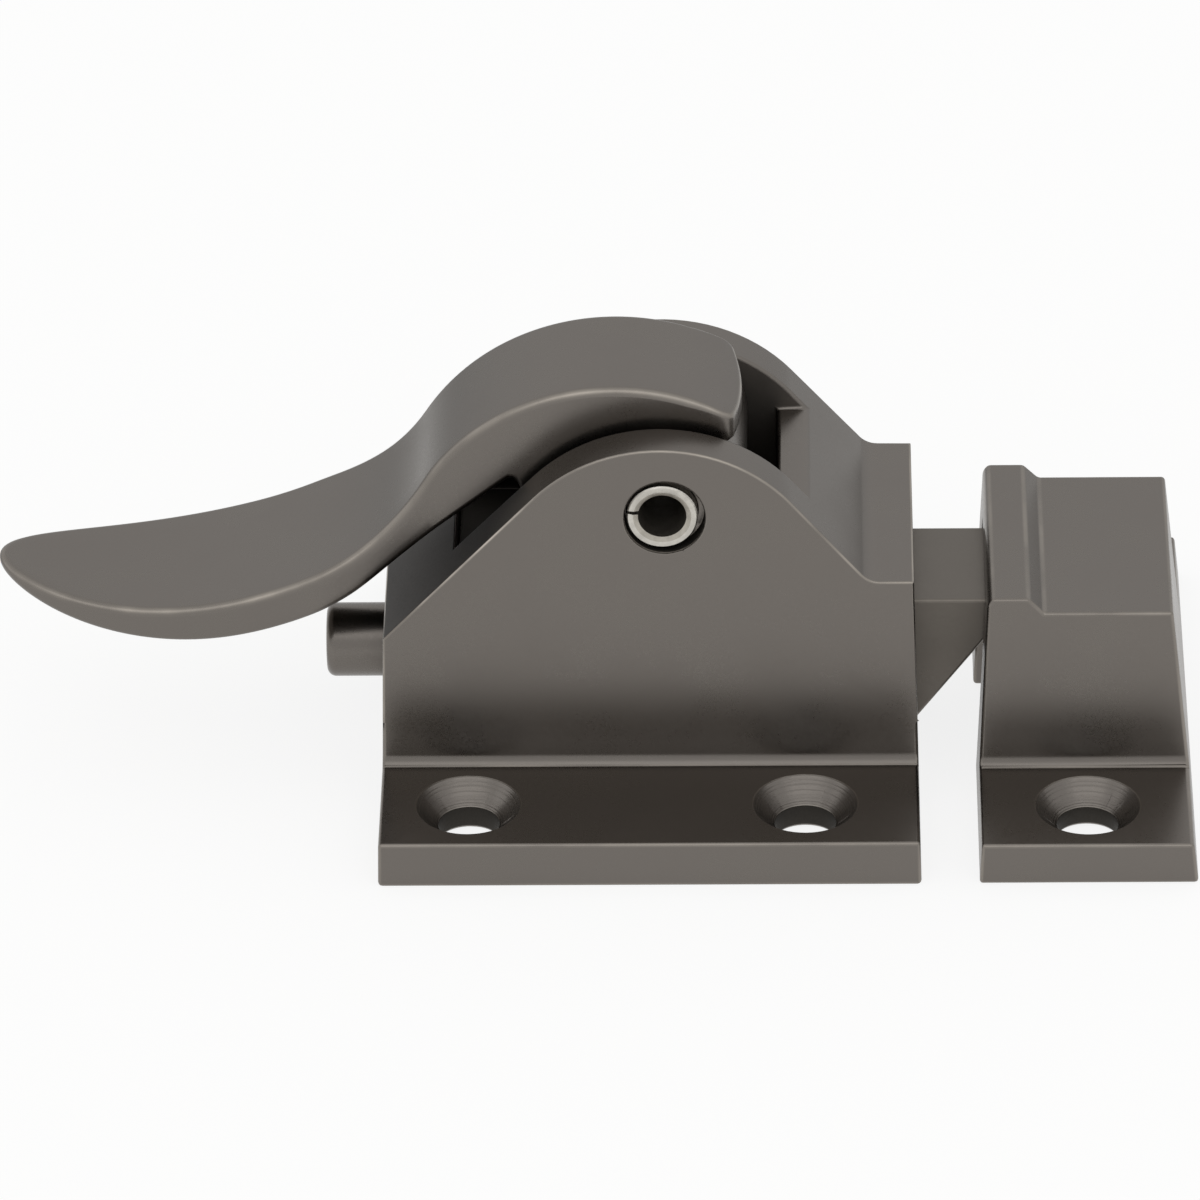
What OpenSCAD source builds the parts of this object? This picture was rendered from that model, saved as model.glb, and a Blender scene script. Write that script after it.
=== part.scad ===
// Cabinet latch: a lever works a spring-loaded bolt that catches in a separate strike.
// Millimetres, +Z up, +X towards the strike. Origin: middle of the body's four screw holes,
// on the mounting face.

/* [Body] */
// Length of the mounting base along the bolt
body_l = 46; // [44:0.5:52]
// Middle of the base along the bolt, from the middle of its screw holes
body_mid = 1.1; // [0:0.1:1.6]
// Depth of the mounting base, over both flanges
body_w = 49.2; // [46:0.2:56]
// Thickness of the screw flanges
flange_t = 4.2; // [3.5:0.1:5]
// Depth of the housing, over both ears, at their top
housing_w = 21.8; // [21.4:0.1:24]
// Height of the flat shoulder over the bolt
shoulder_z = 21.85; // [21.2:0.1:23]
// How far each end wall leans in at the shoulder's height
end_draft = 0.53; // [0:0.05:1]
// Radius of the rounded top of the ears
ear_r = 14.65; // [14:0.05:15.5]
// Middle of the rounded top of the ears, along the latch
ear_x = 2.1; // [1.1:0.05:3.1]
// Height of the middle of the ears' rounded top
ear_z = 20.05; // [19:0.05:20.5]
// Slope of the left side of the ears, degrees
ear_left_deg = 46.5; // [46:0.1:48]
// Slope of the right side of the ears, degrees
ear_right_deg = 49.7; // [49:0.1:52]
// Radius of the blend between the right slope and the shoulder
shoulder_r = 2; // [0.5:0.1:3]

/* [Foot of the walls] */
// Draft of the long walls, each side, degrees
wall_draft = 2; // [0.5:0.05:2.5]
// Height of the cove at the foot of the walls
cove_h = 3; // [2:0.1:6]
// Lean of the wall at the foot of the cove, degrees
cove_deg = 6; // [5:0.5:12]
// Radius of the small fillet that runs out onto the flange
foot_r = 1.33; // [0.8:0.01:1.6]
// Lean of that fillet where it meets the flange, degrees
foot_deg = 55; // [40:1:70]

/* [Lever slot] */
// Width of the slot between the ears
slot_w = 14.2; // [13.8:0.1:14.6]
// Left end of the slot
slot_left = -15.3; // [-15.9:0.1:-14.5]
// Right end wall of the slot
slot_right = 12.1; // [11.5:0.1:12.7]
// Height of the slot's floor
slot_floor = 20; // [19.4:0.1:20.2]
// Height of the ledge on top of the end wall
ledge_z = 27.9; // [27:0.1:28.5]

/* [Pivot pin] */
// Pin axis along the latch
pin_x = 2.35; // [1.7:0.05:2.9]
// Pin axis height
pin_z = 28.2; // [27.8:0.05:28.6]
// Outer diameter of the slotted spring pin
pin_d = 6; // [5:0.1:6.4]
// Wall of the spring pin
pin_wall = 1.05; // [0.7:0.05:1.4]
// Width of the pin's slit
pin_slit = 0.7; // [0.3:0.1:1.2]
// Turn of the slit above level, degrees
pin_slit_deg = 8; // [0:1:60]
// How far each pin end lies below the ear's face
pin_sink = 0.15; // [0.05:0.05:1]
// Diameter of the wide mouth of the ear bores
mouth_d = 6.8; // [6.6:0.1:7.6]
// Depth of that mouth
mouth_t = 1.4; // [0.5:0.1:2]
// Offset of the mouth from the pin axis
mouth_off = 0.2; // [0:0.05:0.25]

/* [Lever] */
// Width of the lever where it passes the ears
lever_w = 12.6; // [11.6:0.1:13]
// Radius of the hub round the pin
hub_r = 7.15; // [6.4:0.05:7.4]
// Diameter of the thrust faces that centre the hub
hub_boss_d = 11; // [9:0.2:12]
// Radius of the arch over the ears
arch_r = 19; // [18:0.1:21]
// Middle of the arch along the latch
arch_x = -1.7; // [-2.1:0.1:-1.3]
// Height of the arch's crown
arch_top = 37.95; // [37.6:0.05:38.6]
// Right end of the arch, at its crown
arch_end = 9.1; // [8.5:0.1:9.5]
// How far the crown of that end stands out
arch_bulge = 0.9; // [0.3:0.1:1.2]
// Radius of the dished top of the paddle
dish_r = 39.5; // [38.5:0.1:40.5]
// Lowest point of the dish along the latch
dish_x = -43.9; // [-44.4:0.1:-43.4]
// Height of the lowest point of the dish
dish_z = 16.95; // [16.8:0.05:17.3]
// Slope where the dish passes into the neck's tighter hollow, degrees
neck_deg = 27; // [25:0.5:29]
// Radius of the paddle's underside
belly_r = 30; // [29:0.2:31]
// Lowest point of the underside along the latch
belly_x = -40.4; // [-40.9:0.1:-39.9]
// Height of the lowest point of the underside
belly_z = 14.4; // [14:0.1:14.6]
// Slope of the neck's straight underside, degrees
under_deg = 35.8; // [35:0.2:37]
// Left side of the hub's web
web_x = -9.7; // [-10.3:0.1:-8.9]
// Tip of the paddle
tip_x = -54.7; // [-55.9:0.1:-52.9]
// Widest place of the paddle along the latch
wide_x = -32.9; // [-33.9:0.2:-31.9]
// Width of the paddle there
paddle_w = 16.5; // [15:0.1:18]
// Length over which the sides draw in to the slot
waist_l = 11.4; // [9:0.1:13]
// Gap left between the end of that waist and the slot
waist_gap = 1.2; // [0.5:0.1:2]

/* [Lever finger] */
// Distance from pin axis to the middle of the finger's round tip
finger_l = 15; // [14.6:0.1:15.2]
// Radius of the round tip
finger_r = 2.7; // [2.2:0.1:3]
// Thickness of the finger across the latch
finger_w = 6; // [4:0.2:7]
// Angle of the finger from upright at rest, degrees
finger_deg = 14; // [10:0.5:15]

/* [Bolt] */
// Width of the bolt
bolt_w = 11.8; // [10.5:0.1:12]
// Top of the bolt
bolt_top = 16.6; // [16:0.1:16.8]
// Underside of the bolt
bolt_low = 1.8; // [1.5:0.1:2.4]
// How far the bolt's nose stands out of the body
bolt_out = 7.3; // [6.6:0.1:8]
// Solid length of the bolt to the left of its notch
bolt_heel = 7; // [6.4:0.1:7.6]
// Slope of the bevel under the nose, degrees
bevel_deg = 53.8; // [50:0.2:58]
// Height of the bevel where it leaves the body
bevel_z = 4.9; // [4.4:0.1:5.4]

/* [Stem and spring] */
// Diameter of the guide stem
stem_d = 6.35; // [5.5:0.05:6.8]
// How far the stem stands out of the body when the bolt is out
stem_out = 4.9; // [3.8:0.1:6.8]
// How far the stem is pressed into the bolt
stem_in = 6; // [4:0.5:7]
// Thickness of the wall that guides the stem
stem_wall = 5; // [4:0.1:5.4]
// Diameter of the spring wire
wire_d = 0.9; // [0.6:0.05:0.95]
// Turns of the spring
spring_turns = 5; // [4:0.5:5]

/* [Strike] */
// Gap between the bases of body and strike
strike_gap = 4.9; // [4:0.1:6]
// Length of the strike's base along the bolt
strike_l = 18.5; // [17:0.1:20]
// Thickness of the strike's flanges
strike_flange_t = 3.9; // [3.4:0.1:4.4]
// Height of the ridge over the bolt
ridge_z = 19.85; // [19.3:0.05:20.5]
// Height of the lower top behind the ridge
strike_z = 18.5; // [18:0.05:19]
// Length of the ridge
ridge_l = 3.5; // [2.6:0.1:4]
// Length of the slope behind the ridge
ridge_run = 1.3; // [0.8:0.1:2]
// Lean of the strike's left face over the ridge's height
strike_lean_left = 0.8; // [0:0.05:1]
// Lean of the strike's right face over the same height
strike_lean_right = 2.1; // [0:0.05:2.6]
// Right end wall of the pocket, thickness at the base
strike_wall = 3.4; // [2.8:0.1:4]

// Depth of the strike over its long walls, at the height of the ridge
strike_w = 22; // [21.2:0.1:23]
// Draft of the strike's long walls, each side, degrees
strike_draft = 4.2; // [1:0.1:4.5]

/* [Screw holes] */
// Diameter of the screw holes
screw_d = 6; // [4.5:0.1:6.4]
// Diameter of the countersinks
sink_d = 9.4; // [8.4:0.1:9.8]
// Full angle of the countersinks, degrees
sink_deg = 82; // [82:1:100]
// Distance between the body's holes along the latch
screw_gap_x = 28.6; // [27:0.1:30]
// Distance between the two rows of holes
screw_gap_y = 36.8; // [36.4:0.1:38]

/* [Fits] */
// Clearance of a shaft in its bore, on the radius
run_fit = 0.05; // [0.02:0.01:0.1]
// Clearance of a pin or stem held in its bore, on the radius
hold_fit = 0.01; // [0.01:0.01:0.02]
// Clearance round the sliding bolt, each side
slide_fit = 0.1; // [0.05:0.01:0.2]
// Clearance of the finger in its notch, each side
notch_fit = 0.12; // [0.08:0.01:0.2]

/* [Hidden] */
$fn = 96;
over = 0.5;
big = 80;
body_left = body_mid - body_l / 2;
body_right = body_mid + body_l / 2;
stem_z = (bolt_top + bolt_low) / 2;
channel_left = body_left + stem_wall;
channel_half = bolt_w / 2 + slide_fit;
channel_top = bolt_top + slide_fit;
strike_x = body_right + strike_gap;
strike_end = strike_x + strike_l;
strike_mid = strike_x + strike_l / 2;
mean_slope = end_draft / shoulder_z;
ear_top = ear_z + ear_r;
finger_x = pin_x + finger_l * sin(finger_deg);
finger_z = pin_z - finger_l * cos(finger_deg);
finger_low = pin_z - finger_l - finger_r;
notch_half = finger_r + notch_fit;
bolt_tail = finger_x - notch_half - bolt_heel;
bolt_nose = body_right + bolt_out;
stem_end = body_left - stem_out;

function sum_dir(c, r, a) = [c[0] + r * cos(a), c[1] + r * sin(a)];
function wall_y(z) = housing_w / 2 + (ear_top - z) * tan(wall_draft);
function arc(c, r, a0, a1, n) = [for (i = [0 : n]) sum_dir(c, r, a0 + (a1 - a0) * i / n)];

// A profile drawn in X and Z, given a thickness in Y about the middle plane.
module across(w) {
    rotate([90, 0, 0])
        linear_extrude(height = w, center = true)
            children();
}

// A round bar along Y.
module y_bar(x, z, r, w) {
    translate([x, 0, z])
        rotate([90, 0, 0])
            cylinder(r = r, h = w, center = true);
}

// A block given by its lowest and highest corners.
module block(a, b) {
    translate(a)
        cube([b[0] - a[0], b[1] - a[1], b[2] - a[2]]);
}

// What a round tool takes off both long walls above a height.
module scoop(y, z, r, low) {
    for (s = [-1, 1])
        intersection() {
            translate([s * y, z])
                circle(r = r, $fn = 180);
            translate([-big, low])
                square([2 * big, 2 * big]);
        }
}

// Section through the walls, square to the bolt: drafted faces, a cove, and a small fillet
// that runs out onto the flange. The faces are half_w off the middle at the height high.
module wall_section(flange, half_w, high, draft) {
    cove_r = cove_h / (sin(cove_deg) - sin(draft));
    foot_z = flange + foot_r * (sin(foot_deg) - sin(cove_deg));
    cove_z = foot_z + cove_h;
    cove_y = half_w + (high - cove_z) * tan(draft);
    foot_y = cove_y + cove_r * (cos(draft) - cos(cove_deg));
    edge_y = foot_y + foot_r * (cos(cove_deg) - cos(foot_deg));
    difference() {
        translate([-edge_y, 0])
            square([2 * edge_y, high + 5]);
        scoop(foot_y + foot_r * cos(cove_deg), foot_z + foot_r * sin(cove_deg), foot_r, flange);
        scoop(cove_y + cove_r * cos(draft), cove_z + cove_r * sin(draft), cove_r, foot_z);
        for (s = [-1, 1])
            polygon([
                [s * cove_y, cove_z],
                [s * big, cove_z],
                [s * big, big],
                [s * (cove_y - (big - cove_z) * tan(draft)), big]
            ]);
    }
}

// That section run along the bolt from end to end.
module wall_run(x0, x1, flange, half_w, high, draft) {
    translate([x0, 0, 0])
        rotate([90, 0, 90])
            linear_extrude(height = x1 - x0)
                wall_section(flange, half_w, high, draft);
}

// A countersunk screw hole through a flange.
module screw_hole(x, y, t) {
    depth = (sink_d - screw_d) / 2 / tan(sink_deg / 2);
    translate([x, y, -over])
        cylinder(d = screw_d, h = t + 2 * over);
    translate([x, y, t - depth])
        cylinder(d1 = screw_d, d2 = sink_d, h = depth);
    translate([x, y, t - 0.001])
        cylinder(d = sink_d, h = over);
}

// Side view of the body: drafted ends, sloped ears under a round top, flat shoulder.
module body_side() {
    l = [ear_x - ear_r * sin(ear_left_deg), ear_z + ear_r * cos(ear_left_deg)];
    r = [ear_x + ear_r * sin(ear_right_deg), ear_z + ear_r * cos(ear_right_deg)];
    fall = tan(ear_left_deg);
    cut_z = (l[1] - (l[0] - body_left) * fall) / (1 - mean_slope * fall);
    left_x = body_left + mean_slope * cut_z;
    foot_x = r[0] + (r[1] - shoulder_z) / tan(ear_right_deg);
    tang = shoulder_r * tan(ear_right_deg / 2);
    polygon([
        [body_left, 0],
        [body_right, 0],
        [body_right - end_draft, shoulder_z],
        [foot_x, shoulder_z],
        r,
        [ear_x, ear_z],
        l,
        [left_x, cut_z]
    ]);
    translate([ear_x, ear_z])
        circle(r = ear_r);
    difference() {
        polygon([
            [foot_x - 0.2, shoulder_z - 0.2],
            [foot_x + tang, shoulder_z - 0.2],
            [foot_x + tang, shoulder_z],
            [foot_x - tang * cos(ear_right_deg), shoulder_z + tang * sin(ear_right_deg)]
        ]);
        translate([foot_x + tang, shoulder_z + shoulder_r])
            circle(r = shoulder_r);
    }
}

// Everything cut out of the body: lever slot, finger opening, bolt channel, bores, holes.
module body_cuts() {
    // lever slot, open upwards, and the open gap over the ledge
    block([slot_left, -slot_w / 2, slot_floor], [slot_right, slot_w / 2, big]);
    block([pin_x, -slot_w / 2, ledge_z], [big, slot_w / 2, big]);
    // opening in the slot's floor for the finger
    block([pin_x - finger_l * sin(finger_deg) - finger_r, -finger_w / 2 - 0.5, stem_z],
          [finger_x + finger_r, finger_w / 2 + 0.5, slot_floor + over]);
    // bolt channel, open to the mounting face behind the sill
    block([channel_left, -channel_half, bolt_low - slide_fit], [big, channel_half, channel_top]);
    block([channel_left, -channel_half, -over], [body_right - stem_wall, channel_half, bolt_low]);
    // bore for the stem in the left wall
    translate([body_left - over, 0, stem_z])
        rotate([0, 90, 0])
            cylinder(r = stem_d / 2 + run_fit, h = stem_wall + 2 * over);
    // pin bores and their wide mouths
    y_bar(pin_x, pin_z, pin_d / 2 + hold_fit, big);
    for (s = [-1, 1])
        translate([pin_x + mouth_off, s * (wall_y(pin_z) - mouth_t / 2 + over / 2), pin_z])
            rotate([90, 0, 0])
                cylinder(d = mouth_d, h = mouth_t + over, center = true);
    // four countersunk screw holes
    for (sx = [-1, 1], sy = [-1, 1])
        screw_hole(sx * screw_gap_x / 2, sy * screw_gap_y / 2, flange_t);
}

module latch_body() {
    color([0.42, 0.40, 0.38])
    difference() {
        union() {
            // housing: side view and wall section together
            intersection() {
                across(big) body_side();
                wall_run(body_left - 1, body_right + 1, flange_t, housing_w / 2, ear_top, wall_draft);
            }
            // flanges, with the same lean of the end faces
            intersection() {
                across(body_w) body_side();
                block([-big, -big, 0], [big, big, flange_t]);
            }
        }
        body_cuts();
    }
}

// Middles of the arcs of the handle's side view, in X and Z.
dish_c = [dish_x, dish_z + dish_r];
meet = sum_dir(dish_c, dish_r, -90 + neck_deg);
arch_c = [arch_x, arch_top - arch_r];
belly_c = [belly_x, belly_z + belly_r];
// The hollow's radius follows from touching the dish at that slope and the arch above.
reach = arch_c - dish_c;
sum_r = arch_r + dish_r;
neck_off = (sum_r * sum_r - reach * reach) / (2 * (sum_r - reach * sum_dir([0, 0], 1, -90 + neck_deg)));
neck_r = dish_r - neck_off;
neck_c = sum_dir(dish_c, neck_off, -90 + neck_deg);
rise = neck_c + (arch_c - neck_c) * neck_r / (neck_r + arch_r);
// A point inside the hub, under the end of the arch.
hub_pt = sum_dir([pin_x, pin_z], hub_r * 0.83, 48);
// Start of the straight underside, and its end at the web of the hub.
under_a = sum_dir(belly_c, belly_r, -90 + under_deg);
under_b = [web_x, under_a[1] + (web_x - under_a[0]) * tan(under_deg)];

// Side view of the handle: paddle, neck and arch.
module lever_side() {
    difference() {
        union() {
            // paddle: above the belly's arc
            intersection() {
                translate(belly_c)
                    circle(r = belly_r, $fn = 180);
                polygon([
                    [tip_x - 2, belly_z - 2],
                    [under_a[0], belly_z - 2],
                    under_a,
                    meet,
                    [dish_x, dish_z + 1],
                    [tip_x - 2, dish_z + 6]
                ]);
            }
            // neck and the body of the arch
            polygon([
                meet,
                (meet + under_a) / 2 - [2, 0.6],
                under_a,
                under_b,
                [web_x + hub_r / 4, pin_z - hub_r * 0.66],
                sum_dir([pin_x, pin_z], hub_r * 0.97, -106),
                [pin_x, pin_z],
                hub_pt,
                [arch_c[0] + 4, arch_c[1] + arch_r - 2],
                arch_c + [-2, arch_r - 4],
                rise
            ]);
            // arch
            intersection() {
                translate(arch_c)
                    circle(r = arch_r, $fn = 180);
                polygon([
                    rise - [0.3, 0.3],
                    rise + [-0.3, big],
                    [arch_end + 1, big],
                    [arch_end + 1, pin_z + hub_r * 0.71],
                    hub_pt,
                    [pin_x, pin_z]
                ]);
            }
        }
        // dish, only as far as the hollow
        intersection() {
            translate(dish_c)
                circle(r = dish_r, $fn = 180);
            translate([meet[0] - big, 0])
                square([big, big]);
        }
        // hollow at the neck
        translate(neck_c)
            circle(r = neck_r, $fn = 120);
    }
}

// Half width of the handle: an ellipse to the tip, then a soft waist to the slot.
waist_b = slot_left - waist_gap;
waist_a = waist_b - waist_l;
function half_w(x) =
    x < wide_x ? paddle_w / 2 * sqrt(max(0, 1 - pow((x - wide_x) / (tip_x - wide_x), 2))) :
    x < waist_a ? paddle_w / 2 :
    x < waist_b ? lever_w / 2 + (paddle_w - lever_w) / 2
        * (1 + cos(180 * (x - waist_a) / (waist_b - waist_a))) / 2 :
    lever_w / 2;
tip_n = 16;
tip_xs = [for (i = [0 : tip_n]) wide_x + (tip_x - wide_x) * cos(90 * i / tip_n)];
waist_xs = [for (i = [0 : 10]) waist_a + (waist_b - waist_a) * i / 10];
side_pts = concat(
    [for (x = tip_xs) [x, half_w(x)]],
    [for (x = waist_xs) [x, half_w(x)]]
);
end_pts = [for (i = [0 : 8]) let (y = lever_w / 2 * (1 - i / 4))
    [arch_end - arch_bulge * pow(y / (lever_w / 2), 2), y]];

// Top view of the handle.
module lever_plan() {
    polygon(concat(
        side_pts,
        end_pts,
        [for (i = [len(side_pts) - 1 : -1 : 1]) [side_pts[i][0], -side_pts[i][1]]]
    ));
}

// Side view of the finger: a tapered arm with a round tip that rolls in the bolt's notch.
module finger_side() {
    arm = finger_r * 0.63;
    translate([pin_x, pin_z])
        rotate(finger_deg) {
            polygon([
                [-arm, -finger_l],
                [arm, -finger_l],
                [finger_r, -1],
                [-finger_r, -1]
            ]);
            translate([0, -finger_l])
                circle(r = finger_r);
        }
}

module lever() {
    color([0.47, 0.44, 0.43])
    difference() {
        union() {
            intersection() {
                across(big) lever_side();
                linear_extrude(height = big) lever_plan();
            }
            // hub and the faces that centre it between the ears
            y_bar(pin_x, pin_z, hub_r, lever_w);
            y_bar(pin_x, pin_z, hub_boss_d / 2, slot_w - 2 * slide_fit);
            // finger down into the bolt
            across(finger_w) finger_side();
        }
        y_bar(pin_x, pin_z, pin_d / 2 + run_fit, big);
    }
}

// Slotted spring pin: a rolled tube with a slit along one side and chamfered ends.
module pivot_pin() {
    half = wall_y(pin_z) - pin_sink;
    r = pin_d / 2;
    c = pin_wall * 0.3;
    color([0.78, 0.77, 0.74])
    translate([pin_x, 0, pin_z])
        rotate([90, -pin_slit_deg, 0])
            difference() {
                rotate_extrude()
                    polygon([
                        [r - pin_wall, -half],
                        [r - c, -half],
                        [r, -half + c],
                        [r, half - c],
                        [r - c, half],
                        [r - pin_wall, half]
                    ]);
                translate([-r, 0, 0])
                    cube([pin_d, pin_slit, 2 * half + 2], center = true);
            }
}

module latch_bolt() {
    bevel_x = body_right;
    low_x = bevel_x - (bevel_z - bolt_low) / tan(bevel_deg);
    nose_z = bevel_z + (bolt_nose - bevel_x) * tan(bevel_deg);
    color([0.36, 0.34, 0.32])
    difference() {
        across(bolt_w)
            polygon([
                [bolt_tail, bolt_low],
                [low_x, bolt_low],
                [bolt_nose, nose_z],
                [bolt_nose, bolt_top],
                [bolt_tail, bolt_top]
            ]);
        // notch for the lever's finger
        block([finger_x - notch_half, -bolt_w, finger_low - slide_fit * 3],
              [finger_x + notch_half, bolt_w, big]);
        // bore for the stem
        translate([bolt_tail - 1, 0, stem_z])
            rotate([0, 90, 0])
                cylinder(r = stem_d / 2 + hold_fit, h = stem_in + 1);
    }
}

// Guide stem: turned bar with rounded end, pressed into the bolt.
module bolt_stem() {
    edge = stem_d * 0.12;
    l = bolt_tail + stem_in - stem_end;
    r = stem_d / 2;
    color([0.34, 0.32, 0.31])
    translate([stem_end, 0, stem_z])
        rotate([0, 90, 0])
            rotate_extrude()
                polygon(concat(
                    [[0, 0]],
                    arc([r - edge, edge], edge, -90, 0, 8),
                    [[r, l], [0, l]]
                ));
}

// Compression spring round the stem: wire swept along a coil with a closed turn at each end.
spring_r = stem_d / 2 + wire_d / 2 + 0.35;
wire_sides = 8;
ring_n = 24;
ring_all = ceil(spring_turns * ring_n);
spring_x0 = channel_left + wire_d / 2 + 0.05;
spring_x1 = bolt_tail - wire_d / 2 - 0.05;
function spring_s(u) = let (v = u * spring_turns)
    v < 1 ? v * wire_d * 1.02 :
    v > spring_turns - 1 ? (spring_x1 - spring_x0) - (spring_turns - v) * wire_d * 1.02 :
    wire_d * 1.02 + (v - 1) / (spring_turns - 2) * (spring_x1 - spring_x0 - 2.04 * wire_d);
module bolt_spring() {
    pts = [for (i = [0 : ring_all], k = [0 : wire_sides - 1])
        let (u = i / ring_all, a = 360 * spring_turns * u, b = 360 * k / wire_sides,
             q = spring_r + wire_d / 2 * cos(b))
        [spring_x0 + spring_s(u) + wire_d / 2 * sin(b), q * cos(a), stem_z + q * sin(a)]];
    faces = concat(
        [for (i = [0 : ring_all - 1], k = [0 : wire_sides - 1])
            let (a = i * wire_sides + k, b = i * wire_sides + (k + 1) % wire_sides)
            [a, b, b + wire_sides, a + wire_sides]],
        [[for (k = [wire_sides - 1 : -1 : 0]) k]],
        [[for (k = [0 : wire_sides - 1]) ring_all * wire_sides + k]]
    );
    color([0.72, 0.72, 0.70])
        polyhedron(points = pts, faces = faces, convexity = 10);
}

// Side view of the strike: leaning ends, ridge over the bolt, lower top behind it.
module strike_side() {
    left = strike_lean_left / ridge_z;
    right = strike_lean_right / ridge_z;
    lx = strike_x + left * ridge_z;
    polygon([
        [strike_x, 0],
        [strike_end, 0],
        [strike_end - right * strike_z, strike_z],
        [lx + ridge_l + ridge_run, strike_z],
        [lx + ridge_l, ridge_z],
        [lx + 0.4, ridge_z],
        [lx, ridge_z - 0.6]
    ]);
}

module strike() {
    roof = strike_z - 2.7;
    color([0.44, 0.41, 0.39])
    difference() {
        union() {
            intersection() {
                across(big) strike_side();
                wall_run(strike_x - 1, strike_end + 1, strike_flange_t, strike_w / 2, ridge_z, strike_draft);
            }
            intersection() {
                across(body_w) strike_side();
                block([-big, -big, 0], [big, big, strike_flange_t]);
            }
        }
        // pocket for the bolt, open to the left and to the mounting face
        block([strike_x - 1, -channel_half - 0.5, -over],
              [strike_x + ridge_l + ridge_run + 1.6, channel_half + 0.5, channel_top + 0.2]);
        block([strike_x, -channel_half - 0.5, -over],
              [strike_end - strike_wall, channel_half + 0.5, roof]);
        for (s = [-1, 1])
            screw_hole(strike_mid, s * screw_gap_y / 2, strike_flange_t);
    }
}

latch_body();
lever();
pivot_pin();
latch_bolt();
bolt_stem();
bolt_spring();
strike();
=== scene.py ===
import math

import bmesh
import bpy
from mathutils import Matrix, Vector


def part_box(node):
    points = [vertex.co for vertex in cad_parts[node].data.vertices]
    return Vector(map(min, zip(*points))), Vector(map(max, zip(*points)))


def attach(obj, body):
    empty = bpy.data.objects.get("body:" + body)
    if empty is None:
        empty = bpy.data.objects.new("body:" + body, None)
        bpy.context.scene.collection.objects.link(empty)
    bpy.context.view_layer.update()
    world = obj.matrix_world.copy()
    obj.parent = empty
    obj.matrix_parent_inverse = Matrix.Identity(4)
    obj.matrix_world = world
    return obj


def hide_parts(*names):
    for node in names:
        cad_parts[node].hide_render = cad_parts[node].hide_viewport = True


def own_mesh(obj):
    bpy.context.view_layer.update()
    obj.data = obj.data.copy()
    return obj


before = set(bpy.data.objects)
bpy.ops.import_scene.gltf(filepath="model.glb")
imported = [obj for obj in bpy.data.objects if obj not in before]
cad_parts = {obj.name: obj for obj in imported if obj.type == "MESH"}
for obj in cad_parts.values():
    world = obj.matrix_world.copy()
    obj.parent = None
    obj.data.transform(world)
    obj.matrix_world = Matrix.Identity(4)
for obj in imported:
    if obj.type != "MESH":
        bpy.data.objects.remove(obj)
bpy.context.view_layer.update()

# Latch body. One zinc casting: two screw flanges, a housing, two ears and the slot between them.
# It is tumbled, so that every edge is softly rounded, then plated in satin gunmetal. The holes are drilled and
# countersunk before plating, which leaves fine turning rings in the cones.
MM = 0.001
HOLE_X, HOLE_Y, CONE_R, CONE_TOP = 14.3, 18.4, 4.75, 4.15
BORE_OUT, BORE_SHARE, CONE_SHARE = 3.3, 0.87, 0.95
PIN_X, PIN_Z, PIN_EDGE, PIN_BORE = 2.35, 28.2, 3.9, 3.8
SHARP_DEG, EDGE_R, MOUTH_R, EAR_R, FINE_R = 28, 0.32, 0.5, 0.2, 0.1
EAR_Z, EAR_Y, INSIDE_Y, AS_CAST_X = 8, 10.5, 8, -4
CONE, SHADED_INSIDE, AS_CAST, SHADED_SLOPE = 1, 2, 3, 4


def linear(hex_colour):
    """An sRGB hex colour as the linear colour that a shader socket takes."""
    parts = [int(hex_colour[i:i + 2], 16) / 255 for i in (0, 2, 4)]
    return [c / 12.92 if c < 0.04045 else ((c + 0.055) / 1.055) ** 2.4 for c in parts] + [1.0]


def add(tree, kind, settings=None, **inputs):
    """One shader node with its settings. Each input is a value or the output that it is linked to."""
    made = tree.nodes.new(kind)
    for key, value in (settings or {}).items():
        setattr(made, key, value)
    for key, value in inputs.items():
        socket = made.inputs[int(key[1:])] if key[1:].isdigit() else made.inputs[key.replace("_", " ")]
        if isinstance(value, bpy.types.NodeSocket):
            tree.links.new(value, socket)
        else:
            socket.default_value = value
    return made


def new_material(name):
    """An empty node material, ready for its nodes."""
    made = bpy.data.materials.new(name)
    made.use_nodes = True
    made.node_tree.nodes.clear()
    return made, made.node_tree


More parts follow.
